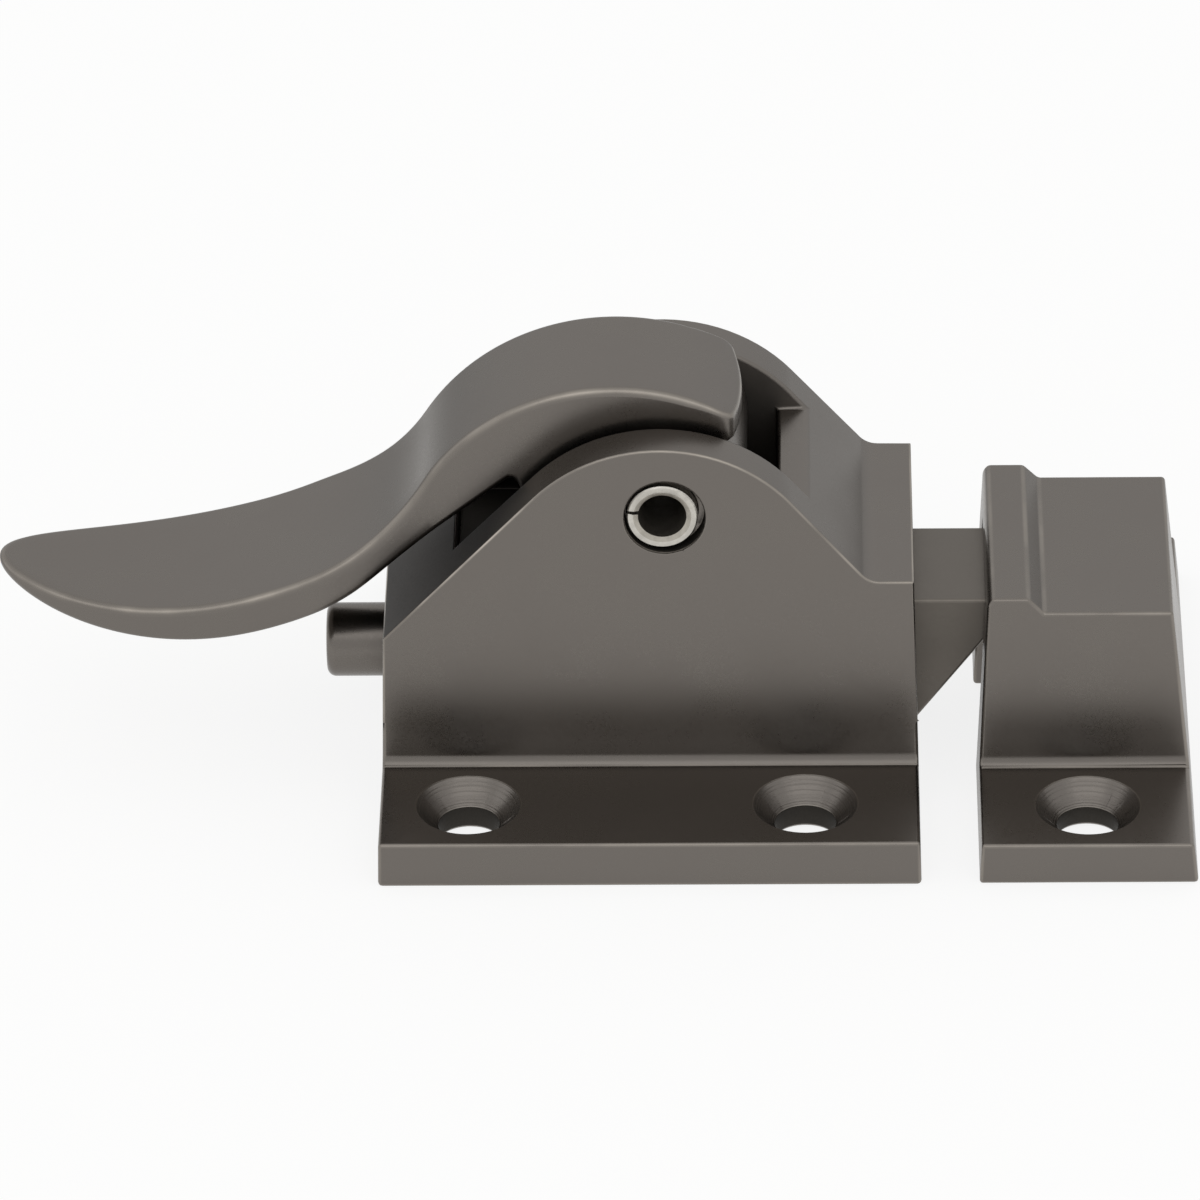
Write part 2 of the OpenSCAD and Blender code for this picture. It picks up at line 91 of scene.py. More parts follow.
def gunmetal(name, colour, bright, rough, ring_centre=None, shade_fade=None):
    """Satin gunmetal plate: a metal with a fine blasted grain, faint clouds in its sheen and brighter edges, partly
    worn and partly a painted highlight.
    With ring_centre it is the plate in a countersink, which follows the tool's turning rings.
    With a fade to painted shade, given as a colour and two places along X in mm, it fades to that colour from the
    first place to the second."""
    made, tree = new_material(name)
    place = add(tree, "ShaderNodeTexCoord").outputs["Object"]
    grain = add(tree, "ShaderNodeTexNoise", Vector=place, Scale=1 / (0.25 * MM), Detail=3.0, Roughness=0.6)
    cloud = add(tree, "ShaderNodeTexNoise", Vector=place, Scale=1 / (7 * MM), Detail=3.0, Roughness=0.55)
    worn_and_highlit = add(tree, "ShaderNodeAttribute", {"attribute_name": "worn_and_highlit"}).outputs["Fac"]
    patchy = add(tree, "ShaderNodeMapRange", Value=cloud.outputs[0], From_Min=0.35, From_Max=0.62,
                 To_Min=0.35, To_Max=1.0)
    wear_and_highlight = add(tree, "ShaderNodeMath", {"operation": "MULTIPLY"}, i0=worn_and_highlit, i1=patchy.outputs[0])
    base = linear(colour)
    if shade_fade:
        shade_colour, start, end = shade_fade
        along = add(tree, "ShaderNodeSeparateXYZ", Vector=place).outputs["X"]
        faded = add(tree, "ShaderNodeMapRange", Value=along, From_Min=start * MM, From_Max=end * MM)
        base = add(tree, "ShaderNodeMix", {"data_type": "RGBA"}, i0=faded.outputs[0], i6=base,
                   i7=linear(shade_colour)).outputs["Result"]
    # brighter edges: wear and a painted highlight
    tone = add(tree, "ShaderNodeMix", {"data_type": "RGBA"}, i0=wear_and_highlight.outputs[0], i6=base, i7=linear(bright))
    sheen = add(tree, "ShaderNodeMapRange", Value=cloud.outputs[0], From_Min=0.3, From_Max=0.7,
                To_Min=rough - 0.025, To_Max=rough + 0.025)
    speck = add(tree, "ShaderNodeMapRange", Value=grain.outputs[0], From_Min=0.3, From_Max=0.7,
                To_Min=-0.03, To_Max=0.03)
    satin = add(tree, "ShaderNodeMath", {"operation": "ADD"}, i0=sheen.outputs[0], i1=speck.outputs[0])
    bump = add(tree, "ShaderNodeBump", Height=grain.outputs[0], Strength=0.35, Distance=0.004 * MM)
    if ring_centre:
        folded = add(tree, "ShaderNodeVectorMath", {"operation": "ABSOLUTE"}, i0=place)
        shifted = add(tree, "ShaderNodeVectorMath", {"operation": "SUBTRACT"}, i0=folded.outputs[0],
                      i1=(ring_centre[0] * MM, ring_centre[1] * MM, 0.0))
        flat = add(tree, "ShaderNodeVectorMath", {"operation": "MULTIPLY"}, i0=shifted.outputs[0],
                   i1=(1.0, 1.0, 0.0))
        away = add(tree, "ShaderNodeVectorMath", {"operation": "LENGTH"}, i0=flat.outputs[0])
        rings = add(tree, "ShaderNodeTexNoise", {"noise_dimensions": "1D"}, W=away.outputs["Value"],
                    Scale=1 / (0.16 * MM), Detail=2.0, Roughness=0.7)
        bump = add(tree, "ShaderNodeBump", Height=rings.outputs[0], Strength=0.9, Distance=0.05 * MM,
                   Normal=bump.outputs[0])
    shader = add(tree, "ShaderNodeBsdfPrincipled", Base_Color=tone.outputs["Result"], Metallic=1.0,
                 Roughness=satin.outputs[0], Normal=bump.outputs[0])
    add(tree, "ShaderNodeOutputMaterial", Surface=shader.outputs[0])
    return made


def sharp_edges(bm):
    """The edges whose two faces meet at more than the angle of a sharp edge."""
    return [e for e in bm.edges if len(e.link_faces) == 2 and e.calc_face_angle(0) > math.radians(SHARP_DEG)]


def round_edges(bm, edges, width, segments=3, wear_and_sheen=0.45):
    """Rounds edges, and marks the middle of each rounding by that much, for edge wear and a painted highlight."""
    worn_and_highlit = bm.verts.layers.float["worn_and_highlit"]
    made = bmesh.ops.bevel(bm, geom=edges, offset=width * MM, offset_type="OFFSET", segments=segments,
                           profile=0.5, affect="EDGES", clamp_overlap=False, loop_slide=True, material=-1)
    new = set(made["faces"])
    for v in {v for f in new for v in f.verts}:
        v[worn_and_highlit] = wear_and_sheen if all(f in new for f in v.link_faces) else 0.0


def new_piece(name, bm, material, body, replaced):
    """The object made of a finished bmesh, with smooth faces and even normals, riding on its body."""
    mesh = bpy.data.meshes.new(name)
    bm.to_mesh(mesh)
    bm.free()
    mesh.shade_smooth()
    made = bpy.data.objects.new(name, mesh)
    bpy.context.scene.collection.objects.link(made)
    mesh.materials.append(material)
    even = made.modifiers.new("even", "WEIGHTED_NORMAL")
    even.weight, even.keep_sharp = 100, True
    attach(made, body)
    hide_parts(replaced)
    return made


def packed_copy(node):
    """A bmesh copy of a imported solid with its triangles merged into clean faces."""
    bm = bmesh.new()
    bm.from_mesh(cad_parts[node].data)
    bm.verts.layers.float.new("worn_and_highlit")
    bmesh.ops.remove_doubles(bm, verts=bm.verts, dist=0.006 * MM)
    bmesh.ops.dissolve_degenerate(bm, edges=bm.edges, dist=0.002 * MM)
    bmesh.ops.dissolve_limit(bm, angle_limit=math.radians(0.4), verts=bm.verts, edges=bm.edges)
    return bm


def near_pin(edge):
    """Whether an edge lies on the pin's bores."""
    return all(math.hypot(v.co.x / MM - PIN_X, v.co.z / MM - PIN_Z) < PIN_EDGE for v in edge.verts)


def in_cone(co, holes_x):
    """Whether a point lies on a countersink or at its rim."""
    return any(math.hypot(co.x / MM - x, abs(co.y) / MM - HOLE_Y) < CONE_R + 0.3 for x in holes_x)


def on_cone(edge, holes_x):
    """Whether an edge lies on a countersink or at its rim."""
    return all(in_cone(v.co, holes_x) for v in edge.verts)


def at_mouth(edge, holes_x):
    """Whether an edge is the mouth of a screw hole in the underside."""
    return all(v.co.z < 0.1 * MM and in_cone(v.co, holes_x) for v in edge.verts)


def on_ear(edge):
    """Whether an edge borders the outer side of an ear."""
    return all(v.co.z > EAR_Z * MM and abs(v.co.y) > EAR_Y * MM for v in edge.verts)


def draw_in(bm, holes_x):
    """Draws each countersink and its bore in to the smaller size that they have in the photograph."""
    for v in bm.verts:
        for x in holes_x:
            centre = Vector((x, math.copysign(HOLE_Y, v.co.y), v.co.z / MM)) * MM
            away = (v.co - centre).length / MM
            if away < CONE_R + 0.1:
                v.co = centre + (v.co - centre) * (BORE_SHARE if away < BORE_OUT else CONE_SHARE)


def split_cones(bm, holes_x, top):
    """Gives the countersinks below that height their own material, and the bores below them the painted shade
    material.
    """
    for f in bm.faces:
        centre = f.calc_center_median()
        if in_cone(centre, holes_x) and centre.z < top * MM:
            if f.normal.z > 0.3:
                f.material_index = CONE
            elif abs(f.normal.z) < 0.3:
                f.material_index = SHADED_INSIDE


PLATE = dict(colour="746F6A", bright="A39C93", rough=0.30)
plated = gunmetal("satin gunmetal plate on cast zinc", **PLATE)
as_cast = gunmetal("thin gunmetal plate on as-cast inner faces", "716C67", "8C867F", 0.52)
# painted shade: the slope under the lever fades to a dark colour towards the left, and its edges get a bright
# painted highlight
painted_shade_under_lever = gunmetal("gunmetal plate with painted shade under the lever", PLATE["colour"],
                       "C2BAB0", 0.36, shade_fade=("36322F", -8.3, -12.5))
# painted shade in the bores, on the slot's floor and on the slot's deep left walls
painted_shade_inside = gunmetal("gunmetal plate with painted shade inside bores and the slot", "45423E", "5A5650", 0.6)
body_cone = gunmetal("gunmetal plate over turned countersinks", ring_centre=(HOLE_X, HOLE_Y), **PLATE)

bm = packed_copy("latch_body")
body_holes = (-HOLE_X, HOLE_X)
draw_in(bm, body_holes)
sharp = sharp_edges(bm)
fine = [e for e in sharp if near_pin(e) or on_cone(e, body_holes)]
wide = [e for e in sharp if e not in fine]
wide += [e for e in fine if all(v.co.z < 0.1 * MM for v in e.verts)]
round_edges(bm, [e for e in wide if not on_ear(e) and not at_mouth(e, body_holes)], EDGE_R)
round_edges(bm, [e for e in sharp_edges(bm) if at_mouth(e, body_holes)], MOUTH_R)
round_edges(bm, [e for e in sharp_edges(bm) if on_ear(e)], EAR_R, wear_and_sheen=1.0)
round_edges(bm, [e for e in sharp_edges(bm) if near_pin(e) or on_cone(e, body_holes)], FINE_R, 2)

# inside the slot and the channel, where the tumbling stones don't reach, there is no edge wear and no painted
# highlight
worn_and_highlit = bm.verts.layers.float["worn_and_highlit"]
for v in bm.verts:
    if abs(v.co.y) < INSIDE_Y * MM:
        v[worn_and_highlit] = 0.0
split_cones(bm, body_holes, CONE_TOP)

# the walls inside are as cast where light falls in; further left, in the bores and on the slot's floor, they get
# painted shade
walls = [f for f in bm.faces if abs(f.calc_center_median().y) < INSIDE_Y * MM and abs(f.normal.y) > 0.9]
rims = list({e for f in walls for e in f.edges})
bmesh.ops.bisect_plane(bm, geom=walls + rims, dist=1e-7, plane_co=(AS_CAST_X * MM, 0, 0), plane_no=(1, 0, 0))
for f in bm.faces:
    centre = f.calc_center_median() / MM
    off_pin = math.hypot(centre.x - PIN_X, centre.z - PIN_Z)
    if abs(centre.y) < INSIDE_Y and abs(f.normal.y) > 0.9 and centre.z > 3:
        f.material_index = AS_CAST if centre.x > AS_CAST_X else SHADED_INSIDE
    elif off_pin < PIN_BORE and abs(f.normal.y) < 0.3:
        f.material_index = SHADED_INSIDE
    elif f.normal.z > 0.9 and abs(centre.y) < INSIDE_Y and 3 < centre.z < 21:
        f.material_index = SHADED_INSIDE
    # the left slope under the lever gets the painted shade
    elif f.normal.x < -0.5 and f.normal.z > 0.5 and centre.x < -8 and centre.z > 8:
        f.material_index = SHADED_SLOPE
latch_body = new_piece("latch_body_casting", bm, plated, "body", "latch_body")
for extra in (body_cone, painted_shade_inside, as_cast, painted_shade_under_lever):
    latch_body.data.materials.append(extra)

# Bolt. A solid zinc block with a bevel under its nose, which slides in the housing's channel.
# It is plated with the rest, in a tone a little darker and warmer.
bolt_plate = gunmetal("gunmetal plate on the sliding bolt", "6A655F", "837D75", 0.32)
BLOCK_R = 0.3
bm = packed_copy("latch_bolt")
round_edges(bm, sharp_edges(bm), BLOCK_R)
new_piece("bolt_block", bm, bolt_plate, "bolt", "latch_bolt")

# Stem. A turned steel bar pressed into the bolt's tail, and plated with it. Its end stands out of the housing's
# left wall and is rounded over by the lathe.
bm = packed_copy("bolt_stem")
round_edges(bm, sharp_edges(bm), BLOCK_R)
new_piece("bolt_stem_bar", bm, plated, "bolt", "bolt_stem")

# Pivot pin. A slotted spring pin rolled from bright steel strip and pressed through both ears.
# Its rims are chamfered, and the hand-scraped inner chamfer at each end is rough.
PIN_R, PIN_HOLE, PIN_CHAMFER, PIN_SCRAPE = 3.0, 2.05, 0.12, 0.4
SLIT_DEG, GAPE_DEG, SHUT_DEG = 170, 10, 2.8
SCRAPED, OILY = 1, 2


def steel(name, colour, rough, scratch=0.35):
    """Bright or darkened steel with fine drawn scratches, soft blotches in its sheen and pits."""
    made, tree = new_material(name)
    place = add(tree, "ShaderNodeTexCoord").outputs["Object"]
    scratches = add(tree, "ShaderNodeTexNoise", Vector=place, Scale=1 / (0.12 * MM), Detail=4.0, Roughness=0.7)
    blotches = add(tree, "ShaderNodeTexNoise", Vector=place, Scale=1 / (0.9 * MM), Detail=2.0, Roughness=0.6)
    wear_and_sheen = add(tree, "ShaderNodeMapRange", Value=blotches.outputs[0], From_Min=0.35, From_Max=0.65,
               To_Min=0.82, To_Max=1.0)
    tone = add(tree, "ShaderNodeMix", {"data_type": "RGBA", "blend_type": "MULTIPLY"}, i0=1.0,
               i6=linear(colour), i7=wear_and_sheen.outputs[0])
    sheen = add(tree, "ShaderNodeMapRange", Value=scratches.outputs[0], From_Min=0.3, From_Max=0.7,
                To_Min=rough - 0.07, To_Max=rough + 0.1)
    bump = add(tree, "ShaderNodeBump", Height=scratches.outputs[0], Strength=scratch, Distance=0.03 * MM)
    shader = add(tree, "ShaderNodeBsdfPrincipled", Base_Color=tone.outputs["Result"], Metallic=1.0,
                 Roughness=sheen.outputs[0], Normal=bump.outputs[0])
    add(tree, "ShaderNodeOutputMaterial", Surface=shader.outputs[0])
    return made


bright_steel = steel("bright spring steel strip", "CBC7BF", 0.3)
scraped_steel = steel("scraped chamfer of the pin", "B8B3A9", 0.42, 1.0)
oily_steel = steel("dark oiled inside of the pin", "6E6961", 0.6)

pin_half = max(v.co.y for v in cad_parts["pivot_pin"].data.vertices) / MM
rim = [(PIN_HOLE, -pin_half + PIN_SCRAPE / 2), (PIN_HOLE + PIN_SCRAPE, -pin_half),
       (PIN_R - PIN_CHAMFER, -pin_half), (PIN_R, -pin_half + PIN_CHAMFER)]
rim += [(r, -y) for r, y in reversed(rim)]
bm = bmesh.new()
ring = [bm.verts.new((r, y, 0)) for r, y in rim]
section = bm.faces.new(ring)
bmesh.ops.spin(bm, geom=[section], cent=(0, 0, 0), axis=(0, -1, 0), dvec=(0, 0, 0),
               angle=math.radians(360 - GAPE_DEG), steps=96, use_merge=False, use_duplicate=False)
bmesh.ops.recalc_face_normals(bm, faces=bm.faces)
for v in bm.verts:
    r, turn = math.hypot(v.co.x, v.co.z), math.degrees(math.atan2(v.co.z, v.co.x)) % 360
    if turn < 1 or turn > 349:
        # the slit narrows from the bore to the outside
        shut = math.radians(SHUT_DEG) * (r - PIN_HOLE) / (PIN_R - PIN_HOLE)
        bmesh.ops.rotate(bm, verts=[v], cent=(0, 0, 0),
                         matrix=Matrix.Rotation(shut if turn < 1 else -shut, 3, "Y"))
bmesh.ops.rotate(bm, verts=bm.verts, cent=(0, 0, 0),
                 matrix=Matrix.Rotation(math.radians(-SLIT_DEG - GAPE_DEG / 2), 3, "Y"))
for f in bm.faces:
    centre = f.calc_center_median()
    r = math.hypot(centre.x, centre.z)
    if r < PIN_HOLE + 0.02 and abs(f.normal.y) < 0.3:
        f.material_index = OILY
    elif r < PIN_HOLE + PIN_SCRAPE - 0.02 and 0.3 < abs(f.normal.y) < 0.97:
        f.material_index = SCRAPED
bmesh.ops.scale(bm, verts=bm.verts, vec=(MM, MM, MM))
bmesh.ops.translate(bm, verts=bm.verts, vec=Vector((PIN_X, 0, PIN_Z)) * MM)
pin = new_piece("slotted_spring_pin", bm, bright_steel, "body", "pivot_pin")
pin.data.materials.append(scraped_steel)
pin.data.materials.append(oily_steel)
pin.data.set_sharp_from_angle(angle=math.radians(30))

# Spring. Coiled from hard steel wire round the stem: one closed turn at each end and open turns between.
# It lies in the channel between the left wall and the bolt's tail. The real spring shortens as the bolt goes in;
# this one keeps its length.
TURNS, SLIDE, WIRE, CLOSED_PITCH = 5, 7.25, 0.9, 1.02
low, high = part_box("bolt_spring")
coil_r, wire = (high[2] - low[2]) / 2, WIRE * MM
coil_z = (high[2] + low[2]) / 2
close, steps = wire * CLOSED_PITCH, 32
opened = (high[0] - low[0] - wire - 2 * close) / (TURNS - 2)
bm = bmesh.new()
bmesh.ops.create_circle(bm, cap_ends=False, radius=wire / 2, segments=10)
bmesh.ops.translate(bm, verts=bm.verts, vec=(low[0] + wire / 2, coil_r - wire / 2, coil_z))
end = bm.verts[:] + bm.edges[:]
for turns, pitch in ((1, close), (TURNS - 2, opened), (1, close)):
    coil = bmesh.ops.spin(bm, geom=end, cent=(0, 0, coil_z), axis=(1, 0, 0), dvec=(pitch / steps, 0, 0),
                          angle=2 * math.pi * turns, steps=steps * turns, use_merge=False, use_duplicate=False)
    end = coil["geom_last"]
bmesh.ops.holes_fill(bm, edges=[e for e in bm.edges if e.is_boundary], sides=0)
bmesh.ops.recalc_face_normals(bm, faces=bm.faces)
spring_wire = steel("hard drawn spring wire", "A9A7A2", 0.32)
spring = new_piece("coil_spring", bm, spring_wire, "body", "bolt_spring")
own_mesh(spring)

# Lever. One zinc casting: a dished paddle, a rising neck, an arch over the ears, and a hub with a finger.
# In plan it is an ellipse, a soft waist and a bowed end. A closed sleeve of quads follows that plan between the
# curves of its top and its underside, with every long edge rounded as in the mould.
TIP, WIDE, WAIST_A, WAIST_B, ARCH_END = -54.7, -32.9, -27.9, -16.5, 9.1
PADDLE_W, LEVER_W, BULGE, CORNER = 16.5, 12.6, 0.9, 1.3
DISH, DISH_R, DISH_END = Vector((-43.9, 56.45)), 39.5, -25.967
NECK, NECK_R, NECK_END = Vector((-34.897, 38.78)), 19.669, -18.011
ARCH, ARCH_R = Vector((-1.7, 18.95)), 19.0
BELLY, BELLY_R, BELLY_END = Vector((-40.4, 45.6)), 31.6, -20
NECK_LINE, WEB_LINE, WEB_END, WEB_BLEND = (-22.85, 19.32, 0.806), (-10, 29.34, -3.4), -9, 3
HUB_LINE, ROOF_LINE, ROOF_TOP = (-7.9, 23.6, -0.236), (2.35, 24, 1.55), 32.72
LONG_R, LOW_SHARE, ROOM, STRETCH_MOST, LEVER_WEAR_AND_HIGHLIGHT = 0.7, 0.8, 0.94, 2.2, 0.9
HUB_R, BOSS_R, BOSS_W, LEVER_BORE, LEVER_SHARP_DEG = 7.15, 5.5, 14.0, 3.05, 32
FINGER_L, FINGER_R, FINGER_ARM, FINGER_W, FINGER_DEG = 15.0, 2.7, 1.7, 6.0, 14.0


def dip(centre, radius, x):
    """Height of a circle's lower half at x."""
    return centre.y - math.sqrt(radius ** 2 - (x - centre.x) ** 2)


def line_at(line, x):
    """Height at x of a straight line, given as a place on it, its height there and its rise."""
    start, height, rise = line
    return height + (x - start) * rise


def crown(x):
    """Height of the lever's top: dish, hollow neck, arch."""
    if x < DISH_END:
        return dip(DISH, DISH_R, x)
    if x < NECK_END:
        return dip(NECK, NECK_R, x)
    return ARCH.y + math.sqrt(ARCH_R ** 2 - (x - ARCH.x) ** 2)


def under(x):
    """Height of the lever's underside: belly, straight neck, round the web's corner and down to the hub."""
    neck, web = line_at(NECK_LINE, x), line_at(WEB_LINE, x)
    if x < BELLY_END:
        belly = dip(BELLY, BELLY_R, x)
        return max(belly, neck) + max(0.0, 0.3 - abs(belly - neck)) ** 2 / 1.2
    corner = min(neck, web) - max(0.0, WEB_BLEND - abs(neck - web)) ** 2 / (4 * WEB_BLEND)
    if x < WEB_END:
        return corner
    return max(corner, line_at(HUB_LINE, x), min(ROOF_TOP, line_at(ROOF_LINE, x)))


def stretch(height, x):
    """How much longer an upright measure is than one square to a curve."""
    x = min(x, ARCH_END - 0.1)
    return min(STRETCH_MOST, math.hypot(1.0, (height(x + 0.05) - height(x - 0.05)) / 0.1))


def half_outline():
    """The plan's outline on one side, from the tip to the middle of the bowed end, in short steps."""
    half, narrow = PADDLE_W / 2, LEVER_W / 2
    line = [Vector((WIDE + (TIP - WIDE) * math.cos(math.radians(a / 2)), half * math.sin(math.radians(a / 2))))
            for a in range(181)]
    line += [Vector((WAIST_A + (WAIST_B - WAIST_A) * i / 60,
                     narrow + (half - narrow) * (1 + math.cos(math.pi * i / 60)) / 2)) for i in range(61)]
    turn = math.pi / 2 - math.atan(2 * BULGE / narrow)
    middle = Vector((ARCH_END - BULGE - CORNER * math.tan(turn / 2), narrow - CORNER))
    line += [middle + CORNER * Vector((math.sin(turn * i / 12), math.cos(turn * i / 12))) for i in range(13)]
    y = line[-1].y
    line += [Vector((ARCH_END - BULGE * (y * (1 - i / 20) / narrow) ** 2, y * (1 - i / 20))) for i in range(1, 21)]
    return line


def even_steps(line, count):
    """Points at equal steps along a line."""
    lengths = [0.0]
    for a, b in zip(line, line[1:]):
        lengths.append(lengths[-1] + (b - a).length)
    out, k = [], 0
    for i in range(count + 1):
        want = lengths[-1] * i / count
        while k < len(line) - 2 and lengths[k + 1] < want:
            k += 1
        out.append(line[k].lerp(line[k + 1], (want - lengths[k]) / (lengths[k + 1] - lengths[k])))
    return out


STEPS, FLAT, TURN, SIDE = 170, 8, 6, 4
outline = even_steps(half_outline(), STEPS)
PARTS = [FLAT, TURN, SIDE, TURN, FLAT, TURN, SIDE, TURN]
bm = bmesh.new()
worn_and_highlit = bm.verts.layers.float.new("worn_and_highlit")
bmesh.ops.create_grid(bm, x_segments=STEPS, y_segments=sum(PARTS), size=0.5)
for v in bm.verts:
    i, j, part = round((v.co.x + 0.5) * STEPS), round((v.co.y + 0.5) * sum(PARTS)), 0
    while part < 7 and j > PARTS[part]:
        j -= PARTS[part]
        part += 1
    t = j / PARTS[part]
    if part > 4:
        t = 1 - t
    at, before, after = outline[i], outline[max(0, i - 1)], outline[min(STEPS, i + 1)]
    along = (after - before).normalized() if 0 < i < STEPS else Vector((0.0, 1.0 if i == 0 else -1.0))
    away = Vector((-along.y, along.x))
    ends = min(1.0, max(0.0, (ARCH_END - at.x - 0.5) / 4))
    r = EDGE_R + (LONG_R - EDGE_R) * ends
    top_r, low_r = r * stretch(crown, at.x), LOW_SHARE * r * stretch(under, at.x)
    room = ROOM * (crown(at.x) - under(at.x)) / (top_r + low_r)
    top_r, low_r = top_r * min(1.0, room), low_r * min(1.0, room)
    low_in = LOW_SHARE * r
    if part in (0, 4):
        # the flat of the top or of the underside, from side to side
        height, back = (crown, r) if part == 0 else (under, low_in)
        spot = at - away * back
        x, y, z = spot.x, spot.y * (1 - 2 * t) * (1 if part == 0 else -1), height(spot.x)
    else:
        side = -1 if part < 4 else 1
        if part in (1, 7):
            a = t * math.pi / 2
            # edge wear and a painted highlight along the top's long edges
            v[worn_and_highlit] = LEVER_WEAR_AND_HIGHLIGHT * math.sin(2 * a) ** 3
            spot = at - away * r * (1 - math.sin(a))
            z = crown(spot.x) - top_r * (1 - math.cos(a))
        elif part in (3, 5):
            a = (1 - t) * math.pi / 2
            spot = at - away * low_in * (1 - math.sin(a))
            z = under(spot.x) + low_r * (1 - math.cos(a))
        else:
            spot = at
            high, deep = crown(at.x) - top_r, under(at.x) + low_r
            z = high + (deep - high) * t
        x, y = spot.x, side * spot.y
    v.co = Vector((x, y, z)) * MM
bmesh.ops.remove_doubles(bm, verts=bm.verts, dist=0.004 * MM)
bmesh.ops.dissolve_degenerate(bm, edges=bm.edges, dist=0.002 * MM)
bmesh.ops.recalc_face_normals(bm, faces=bm.faces)


def bar_across(x, z, r, width, segments=96):
    """A round bar along Y."""
    bar = bmesh.new()
    bmesh.ops.create_cone(bar, cap_ends=True, segments=segments, radius1=r * MM, radius2=r * MM,
                          depth=width * MM)
    bmesh.ops.rotate(bar, verts=bar.verts, cent=(0, 0, 0), matrix=Matrix.Rotation(math.pi / 2, 3, "X"))
    bmesh.ops.translate(bar, verts=bar.verts, vec=Vector((x, 0, z)) * MM)
    return bar


def finger():
    """The finger below the hub: a tapered arm."""
    arm = bmesh.new()
    bmesh.ops.create_cube(arm, size=1.0)
    for v in arm.verts:
        low = v.co.z < 0
        v.co = Vector((math.copysign(FINGER_ARM if low else FINGER_R, v.co.x), v.co.y * FINGER_W,
                       -FINGER_L if low else -1.0)) * MM
    bmesh.ops.rotate(arm, verts=arm.verts, cent=(0, 0, 0),
                     matrix=Matrix.Rotation(-math.radians(FINGER_DEG), 3, "Y"))
    bmesh.ops.translate(arm, verts=arm.verts, vec=Vector((PIN_X, 0, PIN_Z)) * MM)
    return arm


def combined(bm, steps):
    """The bmesh after exact unions and cuts with other bmeshes."""
    scene = bpy.context.scene.collection
    helpers = []
    for i, (kind, part) in enumerate([("BODY", bm)] + steps):
        mesh = bpy.data.meshes.new("step %d" % i)
        part.to_mesh(mesh)
        part.free()
        helpers.append(bpy.data.objects.new("step %d" % i, mesh))
        scene.objects.link(helpers[-1])
        if i:
            change = helpers[0].modifiers.new("step", "BOOLEAN")
            change.operation, change.object, change.solver = kind, helpers[-1], "EXACT"
    bpy.context.view_layer.update()
    result = bmesh.new()
    shaped = helpers[0].evaluated_get(bpy.context.evaluated_depsgraph_get()).to_mesh()
    result.from_mesh(shaped)
    for helper in helpers:
        mesh = helper.data
        bpy.data.objects.remove(helper)
        bpy.data.meshes.remove(mesh)
    return result


tip_at = Vector((PIN_X + FINGER_L * math.sin(math.radians(FINGER_DEG)),
                 PIN_Z - FINGER_L * math.cos(math.radians(FINGER_DEG))))
bm = combined(bm, [
    ("UNION", bar_across(PIN_X, PIN_Z, HUB_R, LEVER_W - 0.04)),
    ("UNION", bar_across(PIN_X, PIN_Z, BOSS_R, BOSS_W)),
    ("UNION", finger()),
    ("UNION", bar_across(tip_at.x, tip_at.y, FINGER_R, FINGER_W, 48)),
    ("DIFFERENCE", bar_across(PIN_X, PIN_Z, LEVER_BORE, 20)),
])
lever = new_piece("lever_casting", bm, plated, "lever", "lever")
lever.data.set_sharp_from_angle(angle=math.radians(LEVER_SHARP_DEG))

# Strike. A hollow zinc casting that is screwed to the other door: a ridge over the bolt, a lower top behind it
# and two screw flanges. It is tumbled and plated as the latch is.
STRIKE_HOLE_X, STRIKE_CONE_TOP = 38.25, 3.85
strike_cone = gunmetal("gunmetal plate over the strike's turned countersinks",
                       ring_centre=(STRIKE_HOLE_X, HOLE_Y), **PLATE)
bm = packed_copy("strike")
strike_holes = (STRIKE_HOLE_X,)
draw_in(bm, strike_holes)
round_edges(bm, [e for e in sharp_edges(bm) if not on_cone(e, strike_holes)], EDGE_R)
round_edges(bm, [e for e in sharp_edges(bm) if at_mouth(e, strike_holes)], MOUTH_R)
round_edges(bm, [e for e in sharp_edges(bm) if on_cone(e, strike_holes)], FINE_R, 2)
split_cones(bm, strike_holes, STRIKE_CONE_TOP)
strike = new_piece("strike_casting", bm, plated, "strike", "strike")
strike.data.materials.append(strike_cone)
strike.data.materials.append(painted_shade_inside)

# Floor and light. A sheet of white paper in a white tent, with two soft panels. The paper shows white round the
# object and keeps its shadow. Mirrored in the plate it is painted darker away from the object and towards the back
# left.
PAPER_HALF, PAPER_GLOW, MIRROR_GLOW = 3.0, 0.84, 0.7
bm = bmesh.new()
bmesh.ops.create_grid(bm, x_segments=1, y_segments=1, size=PAPER_HALF)
mesh = bpy.data.meshes.new("floor")
bm.to_mesh(mesh)
bm.free()
floor = bpy.data.objects.new("floor", mesh)
bpy.context.scene.collection.objects.link(floor)


def ramp(tree, value, start, end, low, high):
    """A value that runs evenly from low to high while its input runs from start to end."""
    return add(tree, "ShaderNodeMapRange", Value=value, From_Min=start, From_Max=end,
               To_Min=low, To_Max=high).outputs[0]


def maths(tree, operation, a, b):
    """One difference, product or larger value of two inputs."""
    return add(tree, "ShaderNodeMath", {"operation": operation}, i0=a, i1=b).outputs[0]


made, tree = new_material("matt white paper")
path = add(tree, "ShaderNodeLightPath")
spot = add(tree, "ShaderNodeSeparateXYZ", Vector=add(tree, "ShaderNodeTexCoord").outputs["Object"])
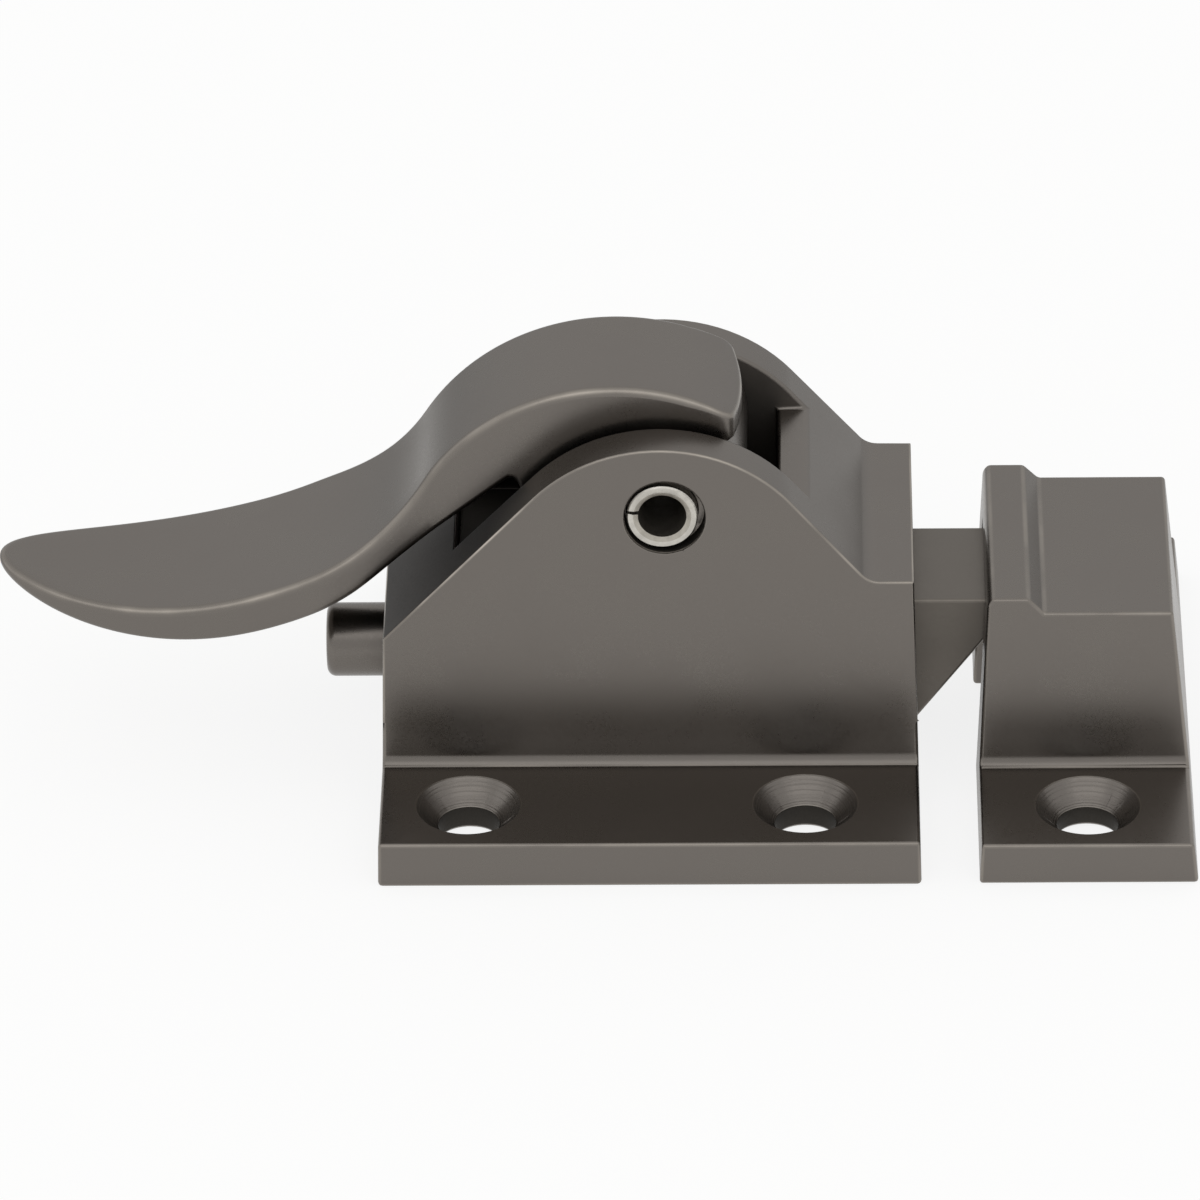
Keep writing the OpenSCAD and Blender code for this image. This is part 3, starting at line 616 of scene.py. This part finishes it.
# painted reflection: the paper darkens in the plate away from the object, and a painted dark patch at the back left
# stands in for shade under the lever
far = ramp(tree, spot.outputs["Y"], 0.03, 0.25, 1.0, 0.6)
behind = ramp(tree, spot.outputs["Y"], 0.03, 0.1, 0.0, 1.0)
painted_dark_patch = maths(tree, "MULTIPLY", behind, ramp(tree, spot.outputs["X"], -0.03, -0.09, 0.0, 0.15))
mirrored = maths(tree, "MULTIPLY", far, maths(tree, "SUBTRACT", 1.0, painted_dark_patch))
glossy = path.outputs["Is Glossy Ray"]
shade = add(tree, "ShaderNodeMix", {"data_type": "FLOAT"}, i0=glossy, i2=1.0, i3=mirrored).outputs[0]
white = add(tree, "ShaderNodeMix", {"data_type": "RGBA", "blend_type": "MULTIPLY"}, i0=1.0,
            i6=linear("FAFAF8"), i7=shade)
share = maths(tree, "MAXIMUM", maths(tree, "MULTIPLY", path.outputs["Is Camera Ray"], PAPER_GLOW),
              maths(tree, "MULTIPLY", glossy, MIRROR_GLOW))
paper = add(tree, "ShaderNodeBsdfDiffuse", Color=white.outputs["Result"])
glow = add(tree, "ShaderNodeEmission", Color=linear("FFFFFF"), Strength=shade)
mix = add(tree, "ShaderNodeMixShader", i0=share, i1=paper.outputs[0], i2=glow.outputs[0])
add(tree, "ShaderNodeOutputMaterial", Surface=mix.outputs[0])
floor.data.materials.append(made)

world = bpy.data.worlds.new("white studio")
bpy.context.scene.world = world
world.use_nodes = True
tree = world.node_tree
tree.nodes.clear()
path = add(tree, "ShaderNodeLightPath")
way = add(tree, "ShaderNodeSeparateXYZ", Vector=add(tree, "ShaderNodeTexCoord").outputs["Generated"])
back = ramp(tree, way.outputs["Y"], 0.0, 0.5, 0.0, 1.0)
low = ramp(tree, way.outputs["Z"], 0.0, 0.45, 0.62, 0.85)
level = add(tree, "ShaderNodeMix", {"data_type": "FLOAT"}, i0=back, i2=0.85, i3=low).outputs[0]
tent = add(tree, "ShaderNodeBackground", Color=linear("FFFFFF"), Strength=level)
white = add(tree, "ShaderNodeBackground", Color=linear("FFFFFF"), Strength=1.0)
mix = add(tree, "ShaderNodeMixShader", i0=path.outputs["Is Camera Ray"], i1=tent.outputs[0], i2=white.outputs[0])
add(tree, "ShaderNodeOutputWorld", Surface=mix.outputs[0])


def softbox(name, place, size, radiance, tint=(1.0, 1.0, 1.0)):
    """A large soft panel that faces the object. Its radiance is 1 where its reflection is white."""
    lamp = bpy.data.lights.new(name, "AREA")
    lamp.shape = "RECTANGLE"
    lamp.size, lamp.size_y = size
    lamp.color = tint
    lamp.energy = radiance * math.pi * size[0] * size[1]
    made = bpy.data.objects.new(name, lamp)
    made.location = place
    made.rotation_mode = "QUATERNION"
    made.rotation_quaternion = (Vector((0, 0, 0.02)) - Vector(place)).to_track_quat("-Z", "Y")
    bpy.context.scene.collection.objects.link(made)


softbox("front panel", (0.0, -0.75, 1.0), (1.6, 0.7), 0.5)
softbox("left panel", (-1.1, 0.1, 0.6), (0.8, 0.8), 0.25, (0.96, 0.97, 1.0))

camera_data = bpy.data.cameras.new("camera")
camera = bpy.data.objects.new("camera", camera_data)
bpy.context.scene.collection.objects.link(camera)
camera_data.sensor_width = 36
camera_data.lens = 298.432
camera_data.clip_start, camera_data.clip_end = 0.05, 20
camera_at = Vector((13.182, -722.443, 470.516)) * MM
right, up, back = (0.999803, 0.013608, -0.014424), (0.004905, 0.535057, 0.844802), (0.019213, -0.844706, 0.534885)
turn = Matrix((right, up, back)).transposed()
camera.matrix_world = Matrix.Translation(camera_at) @ turn.to_4x4()
bpy.context.scene.camera = camera
bpy.context.scene.view_settings.view_transform = "Standard"
